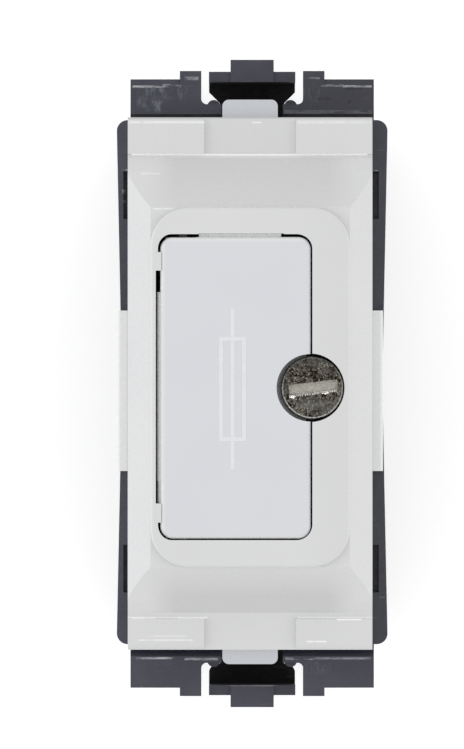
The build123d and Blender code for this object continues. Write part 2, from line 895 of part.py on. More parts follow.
def fuse_stop(end):
    """End wall of the carrier that stops the fuse and carries the hinge pin."""
    edge = carrier_top if end > 0 else -carrier_bottom
    y_range = rows((edge - skirt_thickness, edge), end)
    section = [
        (carrier_left + fuse_stop_inset, carrier_foot_z + overlap),
        (carrier_left + fuse_stop_inset, hinge_z - hinge_pin_radius),
        (fuse_x - fuse_cap_radius, fuse_stop_foot_z),
        (fuse_x + fuse_cap_radius, fuse_stop_foot_z),
        (carrier_right - skirt_thickness, carrier_foot_z - skirt_depth),
        (carrier_right - skirt_thickness, carrier_foot_z + overlap),
    ]
    return along(section, y_range)


def fuse_saddle(y_range):
    """Saddle that snaps round the fuse tube from above."""
    inner = fuse_tube_radius + saddle_clearance
    outer = inner + saddle_wall
    saddle = rod(fuse_x, fuse_z, y_range, outer)
    neck_half = outer - saddle_neck_inset
    neck = block((fuse_x - neck_half, fuse_x + neck_half), y_range,
                 (fuse_z, carrier_foot_z + overlap))
    mouth_z = fuse_z - outer * sin(radians(saddle_grip))
    mouth = block((fuse_x - outer - margin, fuse_x + outer + margin), y_range,
                  (fuse_z - outer - margin, mouth_z))
    return saddle + neck - mouth - rod(fuse_x, fuse_z, y_range, inner)


def fuse_carrier():
    """White carrier with its barrel edge, pins, saddles and screw lug."""
    width = carrier_right - carrier_left
    height = carrier_top - carrier_bottom
    middle = Pos((carrier_left + carrier_right) / 2, (carrier_top + carrier_bottom) / 2)
    plate = extrude(
        middle * Pos(0, 0, carrier_foot_z) * RectangleRounded(width, height, carrier_corner),
        carrier_plate,
    )
    plate = fillet(plate.faces().sort_by(Axis.Z)[-1].edges(), carrier_edge_round)
    barrel = rod(hinge_x, hinge_z, barrel_rows, barrel_radius)
    reach = barrel_radius + margin
    barrel -= block((hinge_x, hinge_x + reach), barrel_rows, (hinge_z - reach, hinge_z + reach))
    barrel -= block((hinge_x - reach, hinge_x + reach), barrel_rows, (face_z, hinge_z + reach))
    carrier = plate + barrel
    skirt_z = (carrier_foot_z - skirt_depth, carrier_foot_z + overlap)
    skirt_right = carrier_right - skirt_inset
    skirt_x = (skirt_right - skirt_thickness, skirt_right)
    skirt_y = (carrier_bottom + carrier_corner, carrier_top - carrier_corner)
    carrier += block(skirt_x, skirt_y, skirt_z)
    for end in (1, -1):
        carrier += fuse_stop(end)
        carrier += fuse_saddle((fuse_y + saddle_near * end, fuse_y + saddle_far * end))
    carrier -= post(screw_x, screw_y, (0, face_z + margin), recess_radius)
    carrier += carrier_lug()
    carrier -= post(screw_x, screw_y, (head_foot_z, face_z + margin), recess_radius)
    carrier -= post(screw_x, screw_y, (0, face_z + margin), screw_hole_radius)
    for edge, end in ((carrier_top, 1), (carrier_bottom, -1)):
        pin_rows = (edge - skirt_thickness * end, edge + hinge_pin_length * end)
        carrier += rod(hinge_x, hinge_z, pin_rows, hinge_pin_radius)
    ledge_left = carrier_left + carrier_ledge_inset
    ledge_z = face_z - carrier_ledge_drop
    carrier += block(
        (ledge_left, ledge_left + carrier_ledge_length),
        (carrier_top - carrier_edge_round, carrier_top + carrier_ledge_reach),
        (ledge_z - carrier_ledge_thickness, ledge_z),
    )
    return Pos(-shell_play, 0, 0) * carrier


def fuse_tube():
    """Ceramic tube of the cartridge fuse."""
    half = fuse_length / 2 - fuse_cap_wall
    tube = rod(fuse_x, fuse_z, (fuse_y - half, fuse_y + half), fuse_tube_radius - press_clearance)
    return Pos(-shell_play, 0, 0) * tube


def fuse_cap(end):
    """Plated cap over one end of the fuse tube."""
    outer_y = fuse_y + fuse_length / 2 * end
    inner_y = outer_y - fuse_cap_length * end
    cap = rod(fuse_x, fuse_z, (inner_y, outer_y), fuse_cap_radius)
    rim = pick(cap.edges().filter_by(GeomType.CIRCLE), Y=outer_y)
    cap = chamfer(rim, fuse_cap_edge)
    cap -= rod(fuse_x, fuse_z, (inner_y - end, outer_y - fuse_cap_wall * end), fuse_tube_radius)
    return Pos(-shell_play, 0, 0) * cap


# Retaining screw

def carrier_screw():
    """Captive screw with a slot that stops short of the rim."""
    top, foot = head_top_z, head_foot_z
    thread_top = ring_foot_z
    thread_foot = thread_top - screw_thread_length
    tip = thread_foot - screw_tip_length
    profile = [
        (0, tip),
        (screw_thread_radius - screw_tip_inset, tip),
        (screw_thread_radius, thread_foot),
        (screw_thread_radius, thread_top),
        (screw_neck_radius, thread_top),
        (screw_neck_radius, foot),
        (screw_head_radius, foot),
        (screw_head_radius, top - screw_head_chamfer),
        (screw_head_radius - screw_head_chamfer, top),
        (0, top),
    ]
    screw = revolve(Plane.XZ * make_face(Polyline(*profile, close=True)), Axis.Z)
    slot_length = 2 * (screw_head_radius - screw_slot_end)
    slot = Pos(0, 0, top - screw_slot_depth / 2) * Box(
        slot_length, screw_slot_width, screw_slot_depth
    )
    return Pos(screw_x, screw_y, 0) * Rot(0, 0, screw_slot_turn) * (screw - slot)


def retaining_washer():
    """Push-on ring above the thread that keeps the screw in the carrier."""
    ring = post(screw_x, screw_y, (ring_foot_z, ring_top_z), ring_radius)
    return ring - post(screw_x, screw_y, (ring_foot_z - margin, ring_top_z + margin),
                       ring_bore_radius)


def threaded_insert():
    """Brass insert with a retaining groove, pressed into the boss."""
    outer = insert_radius - press_clearance
    foot = boss_top_z - insert_length
    middle = foot + insert_length / 2
    groove = (middle - insert_groove, middle + insert_groove)
    insert = post(screw_x, screw_y, (foot, groove[0]), outer)
    insert += post(screw_x, screw_y, groove, outer - insert_groove)
    insert += post(screw_x, screw_y, (groove[1], boss_top_z), outer)
    return insert - post(screw_x, screw_y, (foot - margin, boss_top_z + margin),
                         insert_bore_radius)


# Contacts and terminals

def contact_strip(end):
    """Strip from the terminal up through the floor to a curved cradle under the cap."""
    centre = Vector(fuse_x - shell_play, fuse_z)
    radius = fuse_cap_radius + contact_gap + contact_thickness / 2

    def round_fuse(angle):
        return centre + Vector(cos(radians(angle)), sin(radians(angle))) * radius

    start, finish = round_fuse(contact_start_angle), round_fuse(contact_end_angle)
    middle = round_fuse((contact_start_angle + contact_end_angle) / 2)
    foot_z = terminal_top_z + contact_thickness / 2
    path = (
        Polyline((contact_tail_left, foot_z), (contact_post_x, foot_z),
                 (contact_post_x, contact_post_top_z), (start.X, start.Y))
        + ThreePointArc(start, middle, finish)
        + Line(finish, finish + Vector(*contact_flare))
    )
    near, far = sorted(contact_rows(end))
    blade = extrude(Plane.XZ.offset(-far) * trace(path, contact_thickness), far - near)
    tail = block(
        (contact_tail_left, contact_post_x + contact_thickness / 2),
        (contact_rows(end)[0], contact_tail_end * end),
        (terminal_top_z, terminal_top_z + contact_thickness),
    )
    hole = post(rivet_x, rivet_y * end, (terminal_top_z - margin, terminal_top_z + margin),
                rivet_radius)
    return blade + tail - hole


def contact_rivet(end):
    """Rivet that joins the strip to its terminal block."""
    top = terminal_top_z + contact_thickness
    shank = post(rivet_x, rivet_y * end, (terminal_top_z - rivet_depth, top),
                 rivet_radius - press_clearance)
    head = post(rivet_x, rivet_y * end, (top, top + rivet_head_height), rivet_head_radius)
    return shank + head


def terminal_block(end):
    """Brass block with the conductor bore and the tapped clamping hole."""
    brass = block(
        (terminal_left, terminal_right),
        rows((terminal_near, terminal_far), end),
        (terminal_foot_z, terminal_top_z),
    )
    brass = chamfer(brass.edges().filter_by(Axis.Y), terminal_edge)
    bore_rows = rows((terminal_near - margin, terminal_far + margin), end)
    brass -= rod(terminal_bore_x, terminal_bore_z, bore_rows, terminal_bore_radius)
    brass -= post(terminal_bore_x, clamp_y * end, (terminal_foot_z - margin, terminal_bore_z),
                  clamp_hole_radius)
    brass -= post(rivet_x, rivet_y * end, (terminal_top_z - rivet_depth, terminal_top_z + margin),
                  rivet_radius)
    return brass


def terminal_screw(end):
    """Slotted clamping screw, shown backed out."""
    head_top = clamp_head_z + clamp_head_height
    head = post(terminal_bore_x, clamp_y * end, (clamp_head_z, head_top), clamp_head_radius)
    shank = post(terminal_bore_x, clamp_y * end, (head_top, clamp_pad_foot_z), clamp_shank_radius)
    slot = block(
        (terminal_bore_x - clamp_head_radius, terminal_bore_x + clamp_head_radius),
        (clamp_y * end - clamp_slot_width / 2, clamp_y * end + clamp_slot_width / 2),
        (clamp_head_z - margin, clamp_head_z + clamp_slot_depth),
    )
    return head + shank - slot


def clamp_pad(end):
    """Swivel pad at the tip of a clamping screw."""
    return post(terminal_bore_x, clamp_y * end, (clamp_pad_foot_z, clamp_pad_top_z),
                clamp_pad_radius)


def rear_cover():
    """Cover plate with screw access holes and the ribs that hold the blocks."""
    half_width = cover_half_width - cover_clearance
    half_height = cover_half_height - cover_clearance
    plate = extrude(RectangleRounded(2 * half_width, 2 * half_height, cover_corner),
                    cover_thickness)
    for end in (1, -1):
        rib_rows = rows((terminal_near + cover_rib_end, terminal_far - cover_rib_end), end)
        plate += block((cover_rib_right - cover_rib_width, cover_rib_right), rib_rows,
                       (cover_thickness / 2, terminal_foot_z))
        through = (-margin, cover_thickness + margin)
        plate -= post(terminal_bore_x, clamp_y * end, through, cover_hole_radius)
        for side in (1, -1):
            plate -= post(stake_x * side, stake_y * end, through, stake_radius + stake_clearance)
    return plate


pieces = {
    "base_moulding": base_moulding(),
    "rear_cover": rear_cover(),
    "front_shell": front_shell(),
    "fuse_carrier": fuse_carrier(),
    "fuse_tube": fuse_tube(),
    "fuse_cap_upper": fuse_cap(1),
    "fuse_cap_lower": fuse_cap(-1),
    "carrier_screw": carrier_screw(),
    "retaining_washer": retaining_washer(),
    "threaded_insert": threaded_insert(),
    "contact_supply": contact_strip(1),
    "contact_load": contact_strip(-1),
    "contact_rivet_supply": contact_rivet(1),
    "contact_rivet_load": contact_rivet(-1),
    "terminal_supply": terminal_block(1),
    "terminal_load": terminal_block(-1),
    "terminal_screw_supply": terminal_screw(1),
    "terminal_screw_load": terminal_screw(-1),
    "clamp_pad_supply": clamp_pad(1),
    "clamp_pad_load": clamp_pad(-1),
}

os.makedirs("parts", exist_ok=True)
for name, piece in pieces.items():
    export_step(piece, "parts/" + name + ".step")
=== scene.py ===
import math
import random

import bmesh
import bpy
from mathutils import Matrix, Vector


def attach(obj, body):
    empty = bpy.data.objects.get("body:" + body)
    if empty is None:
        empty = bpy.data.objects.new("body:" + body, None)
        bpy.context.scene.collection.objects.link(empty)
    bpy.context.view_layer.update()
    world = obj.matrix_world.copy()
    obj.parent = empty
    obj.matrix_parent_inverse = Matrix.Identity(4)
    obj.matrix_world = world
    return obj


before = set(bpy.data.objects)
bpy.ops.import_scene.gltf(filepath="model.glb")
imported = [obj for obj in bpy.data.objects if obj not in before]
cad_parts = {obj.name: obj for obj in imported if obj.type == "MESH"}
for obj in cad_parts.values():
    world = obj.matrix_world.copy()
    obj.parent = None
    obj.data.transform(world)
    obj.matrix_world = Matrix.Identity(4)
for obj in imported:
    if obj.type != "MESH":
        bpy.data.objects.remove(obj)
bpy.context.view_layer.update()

# Lengths are in millimetres, +Z is the front, and the origin is the centre of the rear face
MM = 0.001
FACE_Z = 33.0
SCREW_AXIS = Vector((5.53, -0.39, 0))
HEAD_TOP = 32.9
SLOT_TURN = math.radians(7)
STEP_Y = 21.09

# The picture in pixels: its size, where the origin falls in it, and its scale
FRAME_PX = (464, 749)
ORIGIN_PX = (252.2, 383.5)
PX_PER_MM = 10.84

# Painted highlights (glints) on the shell, scuffs on the lugs with a painted highlight and
# painted shade lines among them: places in millimetres, and how strong each is
SHELL_GLINTS = (
    ((-11.3, -4.4), 24.06, 0.10, 0.45),
    ((4.2, 10.9), 24.06, 0.12, 0.35),
    ((-11.1, -9.0), -21.60, 0.05, 0.8),
    ((-6.9, -4.4), -21.60, 0.05, 0.7),
    ((-10.4, -5.5), -23.62, 0.05, 0.5),
    ((-9.8, -6.0), -23.25, 0.04, 0.35),
    ((7.8, 10.0), -21.72, 0.05, 0.8),
    ((5.0, 6.8), -23.75, 0.05, 0.7),
    ((0.0, 0.8), 24.02, 0.03, 0.7),
    ((-10.2, -8.5), 19.32, 0.03, 0.5),
    ((-9.1, -7.2), 16.06, 0.04, 0.5),
)
LUG_SCRATCHES_AND_HIGHLIGHT = (
    ((-11.0, -8.2), (27.35, 27.48), 0.8),
    ((-8.2, -6.6), (27.40, 27.62), 0.6),
    ((-6.2, -5.0), (28.05, 28.30), 0.5),
    ((8.4, 11.0), (27.38, 27.50), 0.7),
    ((6.4, 8.4), (27.45, 27.58), 0.4),
    ((5.0, 6.2), (28.15, 28.25), 0.4),
    ((-10.7, -7.2), (-25.42, -25.32), 0.9),
    ((-6.2, -3.2), (-25.52, -25.38), 0.6),
    ((3.1, 5.6), (-25.48, -25.34), 0.8),
    ((5.6, 10.9), (-25.44, -25.34), 0.5),
    ((-12.0, -11.5), (19.68, 19.75), 0.9),
    ((-11.95, -11.75), (17.55, 17.9), 0.5),
    ((-11.95, -11.75), (16.6, 16.9), 0.5),
    ((11.2, 11.6), (19.63, 19.68), 0.6),
    ((11.75, 12.2), (21.54, 21.58), 0.5),
    ((11.8, 12.2), (-19.74, -19.70), 0.6),
    # Painted highlight: a soft lighter band on the right upper lug near the shell's foot
    ((3.0, 11.0), (24.98, 25.22), 0.15),
)
LUG_SCUFFS = (
    ((-10.4, -10.0), (25.7, 27.2), 0.5),
    ((-9.7, -9.3), (25.4, 27.3), 0.6),
    ((-9.2, -8.4), (26.0, 27.1), 0.7),
    ((-9.0, -8.6), (25.3, 25.8), 0.7),
    ((-8.0, -6.2), (26.4, 27.2), 0.4),
    ((4.6, 6.0), (26.2, 27.4), 0.25),
    ((5.0, 7.0), (-26.6, -25.9), 0.25),
)
LUG_STAINS_AND_SHADE_LINES = (
    ((8.7, 10.1), (27.18, 27.32)),
    ((5.9, 7.2), (26.25, 26.35)),
    ((8.9, 9.3), (25.95, 26.10)),
    # Painted shade: dark lines across the lugs along the foot of the shell
    ((-11.4, -3.0), (24.66, 24.80)),
    ((3.0, 11.2), (24.66, 24.80)),
)
HOOK_EDGES = (27.86, -27.95)

# Bare metals: name, the nodes it is on, light and dark tone, roughness and how its lines run
METALS = (
    (
        "machined_brass",
        ("threaded_insert", "terminal_supply", "terminal_load"),
        (0.72, 0.54, 0.25), (0.58, 0.42, 0.18), 0.30, (1, 8, 1),
    ),
    (
        "formed_brass",
        ("contact_rivet_supply", "contact_rivet_load"),
        (0.70, 0.52, 0.24), (0.54, 0.39, 0.17), 0.34, (1, 1, 1),
    ),
    (
        "tinned_strip",
        ("contact_supply", "contact_load"),
        (0.70, 0.64, 0.54), (0.58, 0.52, 0.43), 0.28, (1, 6, 6),
    ),
    (
        "passivated_steel",
        ("terminal_screw_supply", "terminal_screw_load", "clamp_pad_supply", "clamp_pad_load"),
        (0.60, 0.57, 0.48), (0.44, 0.42, 0.36), 0.36, (6, 1, 1),
    ),
    (
        "spring_steel",
        ("retaining_washer",),
        (0.42, 0.42, 0.43), (0.30, 0.30, 0.31), 0.34, (1, 1, 1),
    ),
    (
        "nickel_cap",
        ("fuse_cap_upper", "fuse_cap_lower"),
        (0.72, 0.70, 0.66), (0.60, 0.58, 0.54), 0.24, (1, 10, 1),
    ),
)
BLACK = (0.0, 0.0, 0.0)


# Node helpers

class Graph:
    """Short names for building one material's node tree."""

    def __init__(self, name):
        self.material = bpy.data.materials.new(name)
        self.material.use_nodes = True
        self.tree = self.material.node_tree
        self.bsdf = self.tree.nodes["Principled BSDF"]
        self.place = self.node("ShaderNodeTexCoord").outputs["Object"]
        split = self.node("ShaderNodeSeparateXYZ")
        self.link(self.place, split.inputs[0])
        self.x, self.y, self.z = split.outputs

    def node(self, kind, **settings):
        made = self.tree.nodes.new(kind)
        for key, value in settings.items():
            setattr(made, key, value)
        return made

    def link(self, source, target):
        self.tree.links.new(source, target)

    def put(self, socket, value):
        if hasattr(value, "is_linked"):
            self.link(value, socket)
        else:
            socket.default_value = value

    def math(self, operation, first, second=0.0):
        made = self.node("ShaderNodeMath", operation=operation)
        self.put(made.inputs[0], first)
        self.put(made.inputs[1], second)
        return made.outputs[0]

    def span(self, value, low, high, to_low=0.0, to_high=1.0):
        """Goes from to_low to to_high while value goes from low to high."""
        made = self.node("ShaderNodeMapRange")
        self.put(made.inputs["Value"], value)
        made.inputs["From Min"].default_value = low
        made.inputs["From Max"].default_value = high
        made.inputs["To Min"].default_value = to_low
        made.inputs["To Max"].default_value = to_high
        return made.outputs["Result"]

    def ramp(self, value, low, high, to_low=0.0, to_high=1.0):
        """The same between two lengths in millimetres."""
        return self.span(value, low * MM, high * MM, to_low, to_high)

    def noise(self, scale, detail, roughness=0.55, stretch=None):
        made = self.node("ShaderNodeTexNoise")
        made.inputs["Scale"].default_value = scale
        made.inputs["Detail"].default_value = detail
        made.inputs["Roughness"].default_value = roughness
        place = self.place
        if stretch:
            mapping = self.node("ShaderNodeMapping")
            mapping.inputs["Scale"].default_value = stretch
            self.link(self.place, mapping.inputs["Vector"])
            place = mapping.outputs["Vector"]
        self.link(place, made.inputs["Vector"])
        return made.outputs["Fac"]

    def cells(self, scale):
        made = self.node("ShaderNodeTexVoronoi", feature="F1")
        made.inputs["Scale"].default_value = scale
        self.link(self.place, made.inputs["Vector"])
        return made.outputs["Distance"]

    def band(self, value, middle, half, soft):
        """1 where value is within half a width of middle, falling to 0 over soft."""
        away = self.math("ABSOLUTE", self.math("SUBTRACT", value, middle * MM))
        return self.ramp(away, half, half + soft, 1.0, 0.0)

    def patch(self, x_range, y_range, soft):
        """1 inside a rectangle, falling to 0 over soft."""
        sides = []
        for value, (low, high) in ((self.x, x_range), (self.y, y_range)):
            sides.append(self.band(value, (low + high) / 2, (high - low) / 2, soft))
        return self.times(*sides)

    def reach(self, centre):
        """Distance from an axis along Z."""
        off_x = self.math("SUBTRACT", self.x, centre.x * MM)
        off_y = self.math("SUBTRACT", self.y, centre.y * MM)
        square = self.math("ADD", self.times(off_x, off_x), self.times(off_y, off_y))
        return self.math("SQRT", square)

    def times(self, *values):
        out = values[0]
        for value in values[1:]:
            out = self.math("MULTIPLY", out, value)
        return out

    def most(self, *values):
        out = values[0]
        for value in values[1:]:
            out = self.math("MAXIMUM", out, value)
        return out

    def mix(self, share, first, second):
        made = self.node("ShaderNodeMix", data_type="RGBA")
        self.put(made.inputs["Factor"], share)
        for socket, value in ((made.inputs[6], first), (made.inputs[7], second)):
            if hasattr(value, "is_linked"):
                self.link(value, socket)
            else:
                socket.default_value = (*value, 1.0)
        return made.outputs[2]

    def bump(self, *layers):
        """Bump layers, each a (height, strength, distance)."""
        normal = None
        for height, strength, distance in layers:
            made = self.node("ShaderNodeBump")
            made.inputs["Strength"].default_value = strength
            made.inputs["Distance"].default_value = distance
            self.link(height, made.inputs["Height"])
            if normal:
                self.link(normal, made.inputs["Normal"])
            normal = made.outputs["Normal"]
        self.link(normal, self.bsdf.inputs["Normal"])

    def finish(self, colour, roughness, metallic=0.0):
        self.link(colour, self.bsdf.inputs["Base Color"])
        self.link(roughness, self.bsdf.inputs["Roughness"])
        self.bsdf.inputs["Metallic"].default_value = metallic
        return self.material


# Materials

def white_moulding(name, light, dark, tones):
    """Semi-gloss white plastic; tones adds the painted shade and highlights of one piece."""
    g = Graph(name)
    cloud = g.noise(90, 2)
    grain = g.noise(5200, 2)
    fine = g.noise(1500, 4)
    colour = g.mix(g.span(cloud, 0.35, 0.65), dark, light)
    speck = g.span(g.cells(300), 0.0, 0.035, 0.22, 0.0)
    colour = g.mix(g.times(speck, g.span(cloud, 0.52, 0.6)), colour, (0.54, 0.53, 0.51))
    colour = tones(g, colour)
    roughness = g.span(fine, 0.3, 0.7, 0.22, 0.32)
    g.bump((cloud, 0.05, 0.0004), (fine, 0.04, 0.00005), (grain, 0.03, 0.00003))
    return g.finish(colour, roughness)


def shell_shade(g, side, below_face):
    """Painted shade: how much darker the coves, the upper recess, the shoulders, the right of the
    face and the top edge are.
    """
    inner = g.ramp(side, 7.0, 9.8, 1.0, 0.0)
    upper_cove = g.times(
        g.patch((-12, 12), (16.2, 21.12), 0.03),
        g.times(g.ramp(g.y, 16.5, 20.6, 0.07, 0.15), g.ramp(g.y, 20.70, 20.92, 1.0, 0.0)),
    )
    lower_cove = g.times(
        g.patch((-12, 12), (-21.08, -16.9), 0.03), g.ramp(g.y, -17.2, -19.6, 0.02, 0.155)
    )
    coves = g.times(g.most(upper_cove, lower_cove), inner, below_face)
    recess = g.times(g.patch((-4.4, 4.0), (21.25, 24.45), 0.05), 0.065)
    shoulders = g.times(g.ramp(g.z, 30.1, 30.2, 1.0, 0.0), 0.03)
    # Painted shade: the right of the face a little darker
    right = g.times(g.ramp(g.x, 4.0, 8.5, 0.0, 0.028), g.ramp(g.z, 32.4, 32.5))
    # Painted shade along the shell's top edge
    crest = g.times(
        g.patch((-11.6, 11.6), (24.42, 24.60), 0.14), g.ramp(g.z, 28.0, 28.2), 0.24
    )
    return g.most(coves, recess, shoulders, right, crest)


def shell_tones(g, colour):
    """Painted shade on the coves, recess and tongues, painted light on the wings, and painted
    highlights (glints) along moulded edges.
    """
    side = g.math("ABSOLUTE", g.x)
    below_face = g.ramp(g.z, 32.30, 32.38, 1.0, 0.0)
    colour = g.mix(shell_shade(g, side, below_face), colour, BLACK)
    # Painted light: paler lines below the upper step and along the lower shoulders' inner edges,
    # lifting the shade in those creases
    foot_lift = g.most(
        g.times(g.patch((-11.5, 11.2), (20.97, 21.02), 0.05), below_face, 0.40),
        g.times(
            g.patch((-11.5, 11.2), (-21.58, -21.50), 0.05), g.ramp(side, 4.1, 4.2), 0.75
        ),
    )
    colour = g.mix(foot_lift, colour, (0.95, 0.95, 0.95))
    # Painted shade: the end tongues greyer and bluer
    tongue_shade = g.ramp(g.math("ABSOLUTE", g.y), 24.50, 24.56)
    colour = g.mix(tongue_shade, colour, (0.565, 0.58, 0.61))
    # Painted light: the wings paler than the rest of the shell
    front = g.ramp(g.z, 23.8, 23.9)
    left_wing_light = g.times(front, g.ramp(g.x, -11.50, -11.58))
    right_wing_light = g.times(front, g.ramp(g.x, 11.10, 11.18))
    colour = g.mix(left_wing_light, colour, (0.83, 0.83, 0.83))
    colour = g.mix(right_wing_light, colour, (0.79, 0.80, 0.80))
    outside = g.ramp(g.z, 29.0, 29.2)
    # Painted highlight: a near-white line along the step across the upper end
    step_highlight = g.patch((-11.1, 10.6), (STEP_Y - 0.055, STEP_Y + 0.055), 0.02)
    colour = g.mix(g.times(step_highlight, outside), colour, (0.99, 0.99, 0.99))
    # Painted highlights (glints) along moulded edges, broken up by noise
    broken = g.span(g.noise(900, 3, 0.6, (1.0, 0.3, 1.0)), 0.36, 0.50, 0.35, 1.0)
    for x_range, y, half, strength in SHELL_GLINTS:
        glint = g.patch(x_range, (y - half, y + half), 0.05)
        colour = g.mix(g.times(glint, broken, outside, strength), colour, (0.96, 0.96, 0.95))
    return colour


def carrier_tones(g, colour):
    """Painted highlights on the rounded edges, painted light on the end ledges and barrel strip,
    painted shade on the pins and in the screw recess.
    """
    # Painted highlight: the rounded edges of the plate lighter and warmer
    edge = g.most(
        g.ramp(g.x, -7.95, -8.30),
        g.ramp(g.y, 13.00, 13.25),
        g.ramp(g.y, -13.95, -14.15),
    )
    colour = g.mix(g.times(edge, 0.7), colour, (0.80, 0.805, 0.79))
    # Painted light on the ledges beyond the plate's ends
    beyond = g.ramp(g.y, 13.40, 13.44)
    colour = g.mix(g.times(beyond, g.ramp(g.x, -5.2, -5.1)), colour, (0.97, 0.97, 0.97))
    # Painted light on the barrel strip
    barrel = g.ramp(g.x, -8.46, -8.50)
    colour = g.mix(barrel, colour, (0.95, 0.95, 0.95))
    # Painted shade: the pins beyond the plate's ends nearly black
    ends = g.most(beyond, g.ramp(g.y, -14.25, -14.28))
    colour = g.mix(g.times(ends, g.ramp(g.x, -5.1, -5.2)), colour, (0.02, 0.02, 0.02))
    # Painted shade in the screw recess, patchy
    radius = g.reach(SCREW_AXIS)
    in_recess = g.times(
        g.ramp(radius, 3.16, 3.19, 1.0, 0.0),
        g.ramp(g.z, 32.75, 32.90, 1.0, 0.0),
    )
    recess_shade = g.ramp(radius, 2.90, 3.10, 0.94, 0.30)
    patchy = g.span(g.noise(2600, 4, 0.7), 0.35, 0.65, 0.86, 1.0)
    return g.mix(g.times(in_recess, recess_shade, patchy), colour, (0.030, 0.029, 0.027))


def dark_moulding(name, light, dark, scuffs_and_shade):
    g = Graph(name)
    cloud = g.noise(220, 3)
    grain = g.noise(6000, 2)
    fine = g.noise(1600, 5, 0.65)
    colour = g.mix(g.span(cloud, 0.35, 0.65), dark, light)
    streaks = g.noise(420, 4, 0.7, (1.0, 5.0, 1.0))
    roughness = g.span(fine, 0.3, 0.7, 0.34, 0.5)
    # Scuffs and painted shade; rougher where the painted shade behind the latches is
    if scuffs_and_shade:
        colour, latch_shade = base_tones(g, colour)
        roughness = g.math("ADD", roughness, g.times(latch_shade, 0.5))
    colour = g.mix(g.span(streaks, 0.60, 0.72, 0.0, 0.12), colour, (0.20, 0.20, 0.21))
    g.bump((cloud, 0.08, 0.0003), (fine, 0.16, 0.00008), (grain, 0.10, 0.00003))
    return g.finish(colour, roughness)


def base_tones(g, colour):
    """Scuffs on the lugs and hooks, painted shade on the right side and the lugs, and painted
    black shade behind the latches.
    """
    front = g.ramp(g.z, 21.0, 22.5)
    # Painted shade: the right side and the lugs darker
    base_shade = g.most(
        g.times(g.ramp(g.x, 11.1, 11.2), 0.30),
        g.times(g.patch((2.8, 12.0), (24.4, 29.0), 0.2), 0.48),
        g.times(g.patch((-12.0, -2.8), (24.4, 29.0), 0.2), 0.18),
    )
    colour = g.mix(g.times(base_shade, front), colour, (0.012, 0.012, 0.016))
    lower_hook = g.times(g.patch((-2.0, 2.0), (-29.8, -28.1), 0.1), 0.07)
    colour = g.mix(lower_hook, colour, (0.12, 0.12, 0.13))
    rub = g.span(g.noise(1500, 5, 0.75, (0.35, 1.4, 1.0)), 0.42, 0.58)
    dust = g.span(g.noise(1300, 5, 0.8, (1.6, 0.5, 1.0)), 0.46, 0.66)
    for x_range, y_range, strength in LUG_SCRATCHES_AND_HIGHLIGHT:
        mark = g.times(g.patch(x_range, y_range, 0.07), rub, front, strength)
        colour = g.mix(mark, colour, (0.55, 0.56, 0.58))
    for x_range, y_range, strength in LUG_SCUFFS:
        mark = g.times(g.patch(x_range, y_range, 0.35), dust, front, strength)
        colour = g.mix(mark, colour, (0.20, 0.22, 0.27))
    for x_range, y_range in LUG_STAINS_AND_SHADE_LINES:
        mark = g.times(g.patch(x_range, y_range, 0.12), g.span(dust, 0.0, 0.6, 0.9, 0.3), front)
        colour = g.mix(mark, colour, (0.010, 0.010, 0.014))
    for y in HOOK_EDGES:
        line = g.times(
            g.patch((-2.3, 2.3), (y - 0.05, y + 0.05), 0.05),
            g.ramp(g.z, 19.0, 19.5),
            rub,
            0.6,
        )
        colour = g.mix(line, colour, (0.30, 0.30, 0.31))
    # Painted shade: near black in the depths behind the latches
    latch_shade = g.times(
        g.band(g.z, 11.0, 1.1, 6.0),
        g.ramp(g.z, 9.8, 10.0),
        g.band(g.math("ABSOLUTE", g.y), 26.2, 1.9, 0.1),
        g.ramp(g.math("ABSOLUTE", g.x), 3.94, 3.98, 1.0, 0.0),
    )
    return g.mix(g.times(latch_shade, 0.96), colour, (0.001, 0.001, 0.001)), latch_shade


